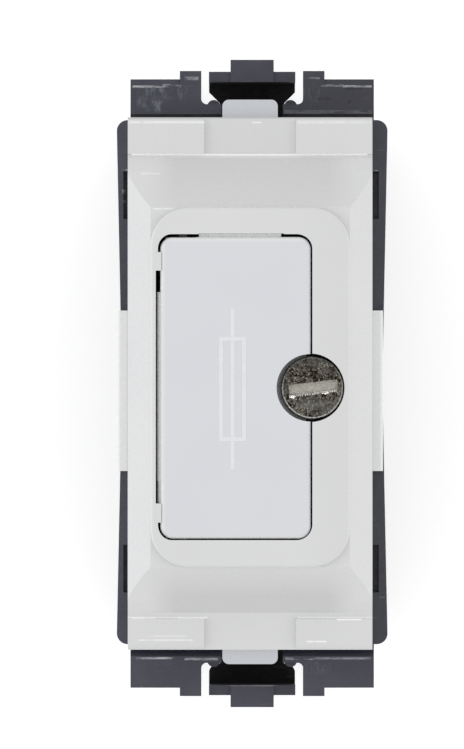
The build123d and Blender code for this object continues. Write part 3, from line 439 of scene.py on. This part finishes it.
def plated_head():
    """Dark, finely pitted plating with a painted highlight round the rim and a scraped slot
    floor.
    """
    g = Graph("worn_plating")
    mottle = g.noise(4300, 3, 0.7)
    broad = g.noise(700, 3)
    fleck = g.cells(4200)
    radius = g.reach(SCREW_AXIS)
    off_x = g.math("SUBTRACT", g.x, SCREW_AXIS.x * MM)
    off_y = g.math("SUBTRACT", g.y, SCREW_AXIS.y * MM)
    colour = g.mix(g.span(mottle, 0.46, 0.57), (0.013, 0.010, 0.006), (0.155, 0.14, 0.115))
    worn = g.times(g.ramp(off_y, -0.8, -1.6), g.ramp(radius, 2.4, 1.6))
    worn = g.most(g.span(broad, 0.48, 0.62, 0.0, 0.40), g.times(worn, 0.65))
    colour = g.mix(worn, colour, (0.18, 0.176, 0.165))
    # Darker toward the upper edge of the head
    darker_upper_edge = g.times(g.ramp(radius, 1.7, 2.3, 0.0, 0.26), g.ramp(off_y, 0.4, 1.0))
    colour = g.mix(darker_upper_edge, colour, (0.012, 0.010, 0.007))
    colour = g.mix(g.span(fleck, 0.10, 0.24, 0.75, 0.0), colour, (0.62, 0.60, 0.54))
    on_top = g.ramp(g.z, HEAD_TOP - 0.35, HEAD_TOP - 0.25)
    # Painted highlight round the rim, stronger to the lower left, broken by the mottle
    rim = g.times(g.band(radius, 2.75, 0.032, 0.03), on_top)
    lower = g.math("SUBTRACT", g.times(off_x, 0.2), off_y)
    lit = g.ramp(lower, -1.6, 1.8, 0.20, 1.0)
    rim_highlight = g.times(rim, lit, g.span(mottle, 0.40, 0.5, 0.55, 1.0))
    colour = g.mix(rim_highlight, colour, (0.95, 0.94, 0.90))
    slot_along = g.math(
        "ADD", g.times(off_x, math.cos(SLOT_TURN)), g.times(off_y, math.sin(SLOT_TURN))
    )
    slot_floor = g.times(
        g.band(g.z, HEAD_TOP - 0.7, 0.06, 0.05),
        g.ramp(radius, 2.5, 2.6, 1.0, 0.0),
        g.ramp(slot_along, -2.22, -2.12),
    )
    scraped = g.span(g.noise(3800, 5, 0.7, (0.7, 1.4, 1.0)), 0.38, 0.52, 0.72, 1.0)
    colour = g.mix(g.times(slot_floor, scraped), colour, (0.60, 0.585, 0.52))
    roughness = g.math("ADD", g.span(mottle, 0.3, 0.7, 0.34, 0.58), g.times(slot_floor, 0.15))
    g.bump((mottle, 0.45, 0.00006), (fleck, 0.30, 0.00004))
    return g.finish(colour, roughness, 1.0)


def metal(name, light, dark, rough, stretch=(1, 1, 1)):
    g = Graph(name)
    cloud = g.noise(500, 4)
    lines = g.noise(3000, 4, 0.7, stretch)
    colour = g.mix(g.span(cloud, 0.35, 0.65), dark, light)
    roughness = g.span(lines, 0.3, 0.7, rough - 0.06, rough + 0.10)
    g.bump((lines, 0.14, 0.00004), (cloud, 0.05, 0.0001))
    return g.finish(colour, roughness, 1.0)


def ceramic():
    g = Graph("fired_ceramic")
    cloud = g.noise(300, 4)
    pores = g.cells(4200)
    colour = g.mix(g.span(cloud, 0.35, 0.65), (0.74, 0.71, 0.64), (0.82, 0.80, 0.75))
    colour = g.mix(g.span(pores, 0.0, 0.12, 0.25, 0.0), colour, (0.50, 0.47, 0.40))
    g.bump((pores, 0.12, 0.00004), (cloud, 0.06, 0.0001))
    return g.finish(colour, g.span(cloud, 0.3, 0.7, 0.42, 0.6))


def mark_paint():
    g = Graph("mark_paint")
    cloud = g.noise(2400, 4)
    colour = g.mix(g.span(cloud, 0.35, 0.65), (0.745, 0.75, 0.765), (0.775, 0.78, 0.795))
    g.bump((cloud, 0.10, 0.00003))
    return g.finish(colour, g.span(cloud, 0.3, 0.7, 0.3, 0.42))


def dress(material, *nodes):
    """Gives CAD nodes a material."""
    for name in nodes:
        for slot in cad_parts[name].material_slots:
            slot.material = material


def make_materials():
    """Dresses every CAD node, and returns the materials by name."""
    made = {
        "white": white_moulding(
            "white_moulding", (0.70, 0.70, 0.702), (0.685, 0.686, 0.69), shell_tones
        ),
        "cool": white_moulding(
            "carrier_moulding", (0.69, 0.698, 0.73), (0.675, 0.683, 0.715), carrier_tones
        ),
        "dark": dark_moulding(
            "charcoal_moulding", (0.051, 0.053, 0.073), (0.037, 0.038, 0.055), True
        ),
        "cover": dark_moulding(
            "cover_moulding", (0.046, 0.047, 0.062), (0.034, 0.035, 0.047), False
        ),
        "torn": metal("torn_plating", (0.90, 0.88, 0.84), (0.70, 0.68, 0.64), 0.22),
    }
    dress(made["dark"], "base_moulding")
    dress(made["cover"], "rear_cover")
    dress(made["white"], "front_shell")
    dress(made["cool"], "fuse_carrier")
    dress(plated_head(), "carrier_screw")
    dress(ceramic(), "fuse_tube")
    for name, nodes, light, dark, rough, stretch in METALS:
        made[name] = metal(name, light, dark, rough, stretch)
        dress(made[name], *nodes)
    return made


# Pieces

def new_piece(name, bm, body, material):
    """Object made of a finished bmesh, riding on a body."""
    mesh = bpy.data.meshes.new(name)
    bmesh.ops.recalc_face_normals(bm, faces=bm.faces)
    bm.to_mesh(mesh)
    bm.free()
    piece = bpy.data.objects.new(name, mesh)
    bpy.context.collection.objects.link(piece)
    mesh.materials.append(material)
    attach(piece, body)


def loft(bm, rings):
    """Faces between rings of vertices, and one face at each end."""
    count = len(rings[0])
    for first, second in zip(rings, rings[1:]):
        for i in range(count):
            j = (i + 1) % count
            bm.faces.new((first[i], first[j], second[j], second[i]))
    bm.faces.new(rings[0])
    bm.faces.new(rings[-1])


def bar(bm, low, high, broken):
    """Box whose upper edges are broken by a small round."""
    low, high = Vector(low) * MM, Vector(high) * MM
    size = high - low
    place = Matrix.Translation((low + high) / 2) @ Matrix.Diagonal((*size, 1.0))
    corners = bmesh.ops.create_cube(bm, size=1.0, matrix=place)["verts"]
    upper = [v for v in corners if v.co.z > high.z - 1e-6]
    top = [edge for edge in bm.edges if all(v in upper for v in edge.verts)]
    bmesh.ops.bevel(bm, geom=top, offset=broken * MM, segments=2, affect="EDGES", profile=0.5)


def fuse_symbol():
    """The plain fuse symbol, a long box with its wire running through, printed on the carrier."""
    middle_px = 232.5
    middle = (middle_px - ORIGIN_PX[0]) / PX_PER_MM
    top, bottom = 4.3, -5.3
    half, line, lead, broken = 1.25, 0.38, 2.6, 0.008
    low_z, high_z = FACE_Z - 0.01, FACE_Z + 0.02
    left, right = middle - half, middle + half
    wire = (middle - line / 2, middle + line / 2)
    strokes = (
        ((left, left + line), (bottom, top)),
        ((right - line, right), (bottom, top)),
        ((left + line, right - line), (top - line, top)),
        ((left + line, right - line), (bottom, bottom + line)),
        (wire, (bottom + line, top - line)),
        (wire, (top, top + lead)),
        (wire, (bottom - lead, bottom)),
    )
    bm = bmesh.new()
    for (x0, x1), (y0, y1) in strokes:
        bar(bm, (x0, y0, low_z), (x1, y1, high_z), broken)
    new_piece("fuse_symbol", bm, "carrier", mark_paint())


def slot_burrs(material):
    """Torn metal along the lower edge of the screw slot, thicker where the driver slipped."""
    count, half_length = 64, 2.15
    edge, root = -0.52, 0.06
    slips = ((-1.95, 0.35), (1.15, 0.40))
    rng = random.Random(11)
    bm = bmesh.new()
    turn = Matrix.Rotation(SLOT_TURN, 3, "Z")
    for index in range(count):
        along = -half_length + 2 * half_length * index / (count - 1) + rng.uniform(-0.04, 0.04)
        heavy = max(0.0, *(1.0 - abs(along - middle) / reach for middle, reach in slips))
        length = rng.uniform(0.05, 0.17) + 0.20 * heavy
        width = rng.uniform(0.07, 0.13) + 0.06 * heavy
        rise = rng.uniform(0.01, 0.05)
        skew = rng.uniform(-0.05, 0.05)
        corners = [
            (along - width / 2, edge + root, HEAD_TOP - 0.05),
            (along + width / 2, edge + root, HEAD_TOP - 0.05),
            (along + width / 2 + skew, edge - length, HEAD_TOP - 0.01),
            (along - width / 2 + skew, edge - length * rng.uniform(0.5, 1.0), HEAD_TOP - 0.01),
            (along + skew, edge - length * rng.uniform(0.2, 0.5), HEAD_TOP + rise),
        ]
        verts = [bm.verts.new((SCREW_AXIS + turn @ Vector(c)) * MM) for c in corners]
        bm.faces.new(reversed(verts[:4]))
        for first, second in ((0, 1), (1, 2), (2, 3), (3, 0)):
            bm.faces.new((verts[first], verts[second], verts[4]))
    new_piece("slot_burrs", bm, "screw", material)


def opening_lip(material):
    """Thin lip of the shell along the upper edge and the hinge corners of the opening."""
    left, right, top, bottom = -8.87, 5.52, 13.84, -14.39
    corner, steps = 1.45, 10
    draw_x, draw_y, draw_middle = 0.20, 0.11, 0.05
    hinge_ends = (12.09, -12.79)
    ledge_ends = (-4.93, 2.90)
    low_z, high_z = FACE_Z - 0.30, FACE_Z

    def round_corner(side, end):
        """Outer and inner points round one corner, from the side wall to the end wall."""
        wall = left if side < 0 else right
        edge = top if end > 0 else bottom
        inner_x, inner_y = draw_x if side < 0 else 0.0, draw_y if end > 0 else 0.0
        pairs = []
        for index in range(steps + 1):
            angle = math.radians(90 * index / steps)
            x = wall - side * corner * (1 - math.cos(angle))
            y = edge - end * corner * (1 - math.sin(angle))
            inner = (x - side * inner_x * math.cos(angle), y - end * inner_y * math.sin(angle))
            pairs.append(((x, y), inner))
        return pairs

    def beside_hinge(y):
        return [((left, y), (left + draw_x, y))]

    def on_top(x, draw):
        return [((x, top), (x, top - draw))]

    first, last = ledge_ends
    runs = [
        beside_hinge(hinge_ends[0]) + round_corner(-1, 1) + on_top(first, draw_y),
        on_top(first + 0.01, draw_middle) + on_top(last - 0.01, draw_middle),
        on_top(last, draw_y) + round_corner(1, 1)[::-1],
        beside_hinge(hinge_ends[1]) + round_corner(-1, -1),
    ]
    bm = bmesh.new()
    for run in runs:
        rings = []
        for outer, inner in run:
            corners = [(*outer, high_z), (*inner, high_z), (*inner, low_z), (*outer, low_z)]
            rings.append([bm.verts.new(Vector(c) * MM) for c in corners])
        loft(bm, rings)
    bmesh.ops.remove_doubles(bm, verts=bm.verts, dist=1e-8)
    new_piece("opening_lip", bm, "base", material)


def barrel_end(material):
    """Stepped end of the carrier's barrel edge at its lower hinge lug."""
    axis_x, axis_z = -6.437, 31.55
    radius, low, high = 2.30, -10.98, -8.96
    start, sweep, steps = 155, 35, 8
    back_x = -8.40
    section = []
    for index in range(steps + 1):
        angle = math.radians(start + sweep * index / steps)
        section.append((axis_x + radius * math.cos(angle), axis_z + radius * math.sin(angle)))
    section += [(back_x, section[-1][1]), (back_x, section[0][1])]
    bm = bmesh.new()
    loft(bm, [[bm.verts.new(Vector((x, y, z)) * MM) for x, z in section] for y in (low, high)])
    new_piece("barrel_end", bm, "carrier", material)


def thread(name, radius, depth, low, high, body, material):
    """Helical V ridge round the screw's axis; with a negative depth it lines a bore."""
    pitch, steps, fade_steps = 0.6, 40, 12
    margin, flank, thinnest = 0.3 * pitch, 0.36 * pitch, 0.05
    root = math.copysign(0.02, depth)
    total = int((high - low - 2 * margin) / pitch * steps)
    bm = bmesh.new()
    rings = []
    for index in range(total + 1):
        angle = 2 * math.pi * index / steps
        level = low + margin + pitch * index / steps
        fade = min(1.0, index / fade_steps, (total - index) / fade_steps)
        half = flank * max(fade, thinnest)
        section = (
            (radius - root, level - half),
            (radius + depth * fade, level),
            (radius - root, level + half),
        )
        ring = []
        for reach, z in section:
            x = SCREW_AXIS.x + reach * math.cos(angle)
            y = SCREW_AXIS.y + reach * math.sin(angle)
            ring.append(bm.verts.new(Vector((x, y, z)) * MM))
        rings.append(ring)
    loft(bm, rings)
    new_piece(name, bm, body, material)


# Surroundings

def white_to_camera(tree, seen, given):
    """Strength seen by camera, glossy and transmission rays, and the one given to all others."""
    path = tree.nodes.new("ShaderNodeLightPath")
    direct = path.outputs["Is Camera Ray"]
    for ray in ("Is Glossy Ray", "Is Transmission Ray"):
        either = tree.nodes.new("ShaderNodeMath")
        either.operation = "MAXIMUM"
        tree.links.new(direct, either.inputs[0])
        tree.links.new(path.outputs[ray], either.inputs[1])
        direct = either.outputs[0]
    span = tree.nodes.new("ShaderNodeMapRange")
    span.inputs["To Min"].default_value = given
    span.inputs["To Max"].default_value = seen
    tree.links.new(direct, span.inputs["Value"])
    return span.outputs["Result"]


def make_world():
    world = bpy.data.worlds.new("studio")
    bpy.context.scene.world = world
    world.use_nodes = True
    tree = world.node_tree
    back = tree.nodes["Background"]
    back.inputs["Color"].default_value = (1.0, 1.0, 1.0, 1.0)
    tree.links.new(white_to_camera(tree, seen=1.0, given=0.89), back.inputs["Strength"])


def make_floor():
    bpy.ops.mesh.primitive_plane_add(size=8.0, location=(0, 0, -0.00005))
    floor = bpy.context.object
    floor.name = "floor"
    material = bpy.data.materials.new("pale_floor")
    material.use_nodes = True
    tree = material.node_tree
    bsdf = tree.nodes["Principled BSDF"]
    bsdf.inputs["Base Color"].default_value = (0.80, 0.80, 0.80, 1.0)
    bsdf.inputs["Roughness"].default_value = 0.8
    bsdf.inputs["Emission Color"].default_value = (1.0, 1.0, 1.0, 1.0)
    glow = white_to_camera(tree, seen=0.45, given=0.0)
    tree.links.new(glow, bsdf.inputs["Emission Strength"])
    floor.data.materials.append(material)


def softbox(name, place, size, power, colour):
    light = bpy.data.lights.new(name, "AREA")
    light.shape = "RECTANGLE"
    light.size, light.size_y = size
    light.energy = power
    light.color = colour
    lamp = bpy.data.objects.new(name, light)
    bpy.context.collection.objects.link(lamp)
    lamp.location = place
    aim = Vector((0, 0, 0.03)) - Vector(place)
    lamp.rotation_euler = aim.to_track_quat("-Z", "Y").to_euler()
    lamp.visible_camera = False


def make_lights():
    softbox("left_softbox", (-0.60, 0.0, 0.24), (0.55, 0.30), 0.90, (0.95, 0.975, 1.0))
    softbox("right_softbox", (0.60, 0.0, 0.24), (0.55, 0.30), 0.62, (0.98, 0.99, 1.0))


def make_camera():
    """Long lens straight in front of the face, at PX_PER_MM where z is matched_z."""
    matched_z = 26.0
    data = bpy.data.cameras.new("camera")
    camera = bpy.data.objects.new("camera", data)
    bpy.context.collection.objects.link(camera)
    bpy.context.scene.camera = camera
    data.sensor_width = 36.0
    data.lens = 900.0
    data.clip_start, data.clip_end = 0.01, 20.0
    distance = data.lens * FRAME_PX[1] / PX_PER_MM / data.sensor_width
    across = (FRAME_PX[0] / 2 - ORIGIN_PX[0]) / PX_PER_MM
    up = (ORIGIN_PX[1] - FRAME_PX[1] / 2) / PX_PER_MM
    camera.location = Vector((across, up, matched_z + distance)) * MM


materials = make_materials()
fuse_symbol()
slot_burrs(materials["torn"])
opening_lip(materials["white"])
barrel_end(materials["cool"])
thread(
    "screw_thread",
    radius=1.30,
    depth=0.10,
    low=26.9,
    high=28.04,
    body="screw",
    material=materials["passivated_steel"],
)
thread(
    "insert_thread",
    radius=1.80,
    depth=-0.16,
    low=23.6,
    high=27.9,
    body="base",
    material=materials["machined_brass"],
)
make_world()
make_floor()
make_lights()
make_camera()

bpy.context.scene.view_settings.view_transform = "Standard"
